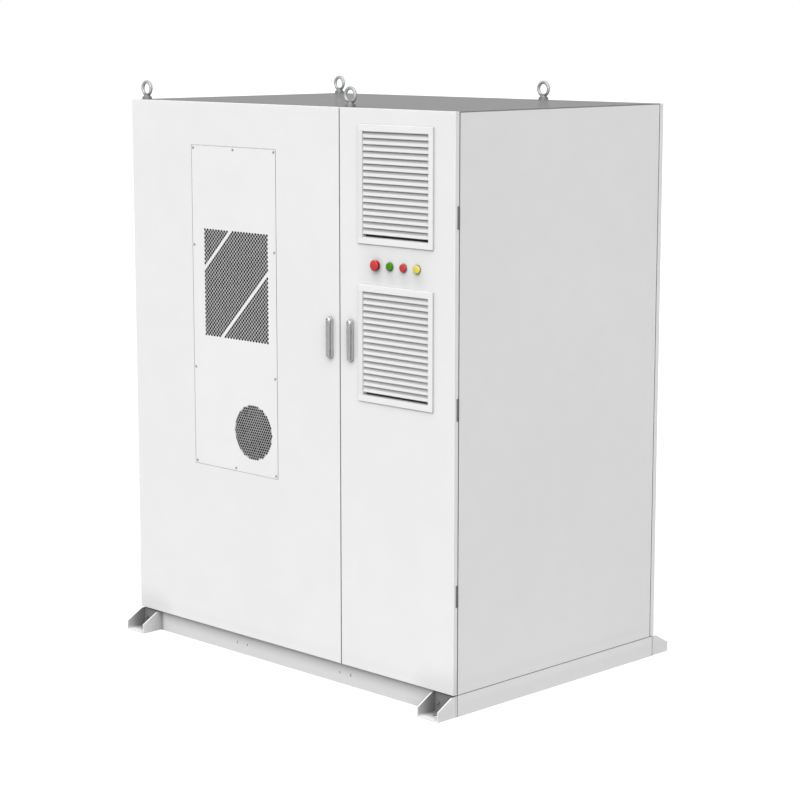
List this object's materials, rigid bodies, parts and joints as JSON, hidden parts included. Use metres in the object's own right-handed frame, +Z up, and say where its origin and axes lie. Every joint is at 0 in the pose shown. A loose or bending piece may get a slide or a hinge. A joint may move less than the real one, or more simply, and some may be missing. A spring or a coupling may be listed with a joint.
{
  "type": "battery storage cabinet",
  "caption": "Outdoor battery storage cabinet on a plinth with foot brackets: two hinged doors, perforated cooling cover, louvres, handles, stop button, lamps and lifting eyes.",
  "frame": {"origin": "bottom centre of the footprint, feet included, on the ground plane", "axes": "+Z up, -Y out of the doors, +X to the right as seen from the front"},
  "size_m": [1.813, 1.337, 2.2765],
  "materials": {
    "white_paint": "semi-gloss powder coat",
    "base_paint": "semi-gloss powder coat",
    "roof_paint": "glossy powder coat",
    "zinc": "bright zinc plate",
    "eye_steel": "polished zinc plate",
    "frame_paint": "satin powder coat",
    "black_rubber": "foam rubber",
    "dark_hinge": "black zinc",
    "handle_metal": "satin",
    "galvanised": "galvanised sheet",
    "coil_fins": "thin bare fins",
    "black_plastic": "moulded",
    "fan_plastic": "moulded",
    "filter_mat": "open fibre mat",
    "bezel_metal": "moulded",
    "red_plastic": "moulded",
    "green_lens": "moulded lens",
    "red_lens": "moulded lens",
    "yellow_lens": "moulded lens",
    "pack_case": "satin",
    "cell_wrap": "shrink-wrapped cells",
    "terminal": "moulded cover",
    "unit_grey": "satin",
    "compressor_black": "gloss",
    "cylinder_red": "gloss"
  },
  "bodies": {
    "cabinet": {"base_frame": "base_paint", "foot_brackets": "base_paint", "foot_bracket_bolts": "zinc", "body_frame": "frame_paint", "side_panels": "white_paint", "roof_panel": "roof_paint", "lifting_eye_bolts": "eye_steel", "rear_panels": "white_paint", "rear_panel_screws": "zinc", "partition_panel": "galvanised", "floor_plates": "galvanised", "gland_plate": "galvanised", "cable_glands": "black_plastic", "hinge_frame_leaves": "dark_hinge", "equipment_racks": "frame_paint", "battery_packs": "pack_case", "cell_stacks": "cell_wrap", "pack_terminals": "terminal", "high_voltage_box": "unit_grey", "power_converter": "unit_grey", "control_box": "unit_grey", "breaker_block": "black_plastic", "fire_cylinder": "cylinder_red"},
    "isolator": {"isolator_knob": "red_plastic"},
    "breaker": {"breaker_lever": "terminal"},
    "left_door": {"left_door_shell": "white_paint", "left_door_seal": "black_rubber", "left_hinge_leaves": "dark_hinge", "ac_cover_panel": "white_paint", "ac_cover_screws": "zinc", "ac_casing": "galvanised", "ac_condenser_coil": "coil_fins", "ac_fan_frame": "black_plastic", "ac_compressor": "compressor_black", "left_handle_plate": "handle_metal", "left_latch_case": "galvanised"},
    "ac_fan": {"ac_fan_rotor": "fan_plastic"},
    "right_door": {"right_door_shell": "white_paint", "right_door_seal": "black_rubber", "right_hinge_leaves": "dark_hinge", "louvres": "white_paint", "louvre_filters": "filter_mat", "vent_fan_frames": "galvanised", "indicator_collars": "bezel_metal", "green_lamp": "green_lens", "red_lamp": "red_lens", "yellow_lamp": "yellow_lens", "right_handle_plate": "handle_metal", "right_latch_case": "galvanised"},
    "upper_fan": {"upper_fan_rotor": "fan_plastic"},
    "lower_fan": {"lower_fan_rotor": "fan_plastic"},
    "stop": {"stop_button": "red_plastic"},
    "left_spindle": {"left_handle_spindle": "zinc"},
    "left_lever": {"left_handle_lever": "handle_metal"},
    "left_rod_up": {"left_upper_rod": "zinc"},
    "left_rod_down": {"left_lower_rod": "zinc"},
    "right_spindle": {"right_handle_spindle": "zinc"},
    "right_lever": {"right_handle_lever": "handle_metal"},
    "right_rod_up": {"right_upper_rod": "zinc"},
    "right_rod_down": {"right_lower_rod": "zinc"}
  },
  "joints": [
    {"name": "left_door_swing", "type": "hinge", "parent": "cabinet", "child": "left_door", "pos_m": [-0.9015, -0.5735, 1.1], "axis": [0, 0, -1], "range_deg": [0, 120]},
    {"name": "left_handle_turn", "type": "hinge", "parent": "left_door", "child": "left_spindle", "pos_m": [0.2665, -0.591, 1.408], "axis": [0, 1, 0], "range_deg": [0, 90]},
    {"name": "left_handle_lift", "type": "hinge", "parent": "left_spindle", "child": "left_lever", "pos_m": [0.2665, -0.607, 1.408], "axis": [-1, 0, 0], "range_deg": [0, 25]},
    {"name": "left_upper_rod_slide", "type": "slide", "parent": "left_door", "child": "left_rod_up", "axis": [0, 0, 1], "range_m": [0, 0.0255]},
    {"name": "left_lower_rod_slide", "type": "slide", "parent": "left_door", "child": "left_rod_down", "axis": [0, 0, -1], "range_m": [0, 0.0255]},
    {"name": "right_door_swing", "type": "hinge", "parent": "cabinet", "child": "right_door", "pos_m": [0.9015, -0.5735, 1.1], "axis": [0, 0, 1], "range_deg": [0, 120]},
    {"name": "right_handle_turn", "type": "hinge", "parent": "right_door", "child": "right_spindle", "pos_m": [0.378, -0.591, 1.408], "axis": [0, -1, 0], "range_deg": [0, 90]},
    {"name": "right_handle_lift", "type": "hinge", "parent": "right_spindle", "child": "right_lever", "pos_m": [0.378, -0.607, 1.408], "axis": [-1, 0, 0], "range_deg": [0, 25]},
    {"name": "right_upper_rod_slide", "type": "slide", "parent": "right_door", "child": "right_rod_up", "axis": [0, 0, 1], "range_m": [0, 0.0255]},
    {"name": "right_lower_rod_slide", "type": "slide", "parent": "right_door", "child": "right_rod_down", "axis": [0, 0, -1], "range_m": [0, 0.0255]},
    {"name": "ac_fan_spin", "type": "hinge", "parent": "left_door", "child": "ac_fan", "pos_m": [-0.1802, -0.572, 0.9199], "axis": [0, 1, 0], "continuous": true},
    {"name": "upper_fan_spin", "type": "hinge", "parent": "right_door", "child": "upper_fan", "pos_m": [0.6083, -0.56, 1.925], "axis": [0, 1, 0], "continuous": true},
    {"name": "lower_fan_spin", "type": "hinge", "parent": "right_door", "child": "lower_fan", "pos_m": [0.6083, -0.56, 1.3385], "axis": [0, 1, 0], "continuous": true},
    {"name": "stop_push", "type": "slide", "parent": "right_door", "child": "stop", "axis": [0, 1, 0], "range_m": [0, 0.005]},
    {"name": "isolator_turn", "type": "hinge", "parent": "cabinet", "child": "isolator", "pos_m": [0.47, -0.385, 0.27], "axis": [0, 1, 0], "range_deg": [0, 90]},
    {"name": "breaker_tilt", "type": "hinge", "parent": "cabinet", "child": "breaker", "pos_m": [0.595, -0.381, 1.7], "axis": [-1, 0, 0], "range_deg": [0, 55]}
  ],
  "couplings": [
    {"joint": "left_upper_rod_slide", "follows": "left_handle_turn", "m_per_rad": 0.016},
    {"joint": "left_lower_rod_slide", "follows": "left_handle_turn", "m_per_rad": 0.016},
    {"joint": "right_upper_rod_slide", "follows": "right_handle_turn", "m_per_rad": 0.016},
    {"joint": "right_lower_rod_slide", "follows": "right_handle_turn", "m_per_rad": 0.016}
  ]
}
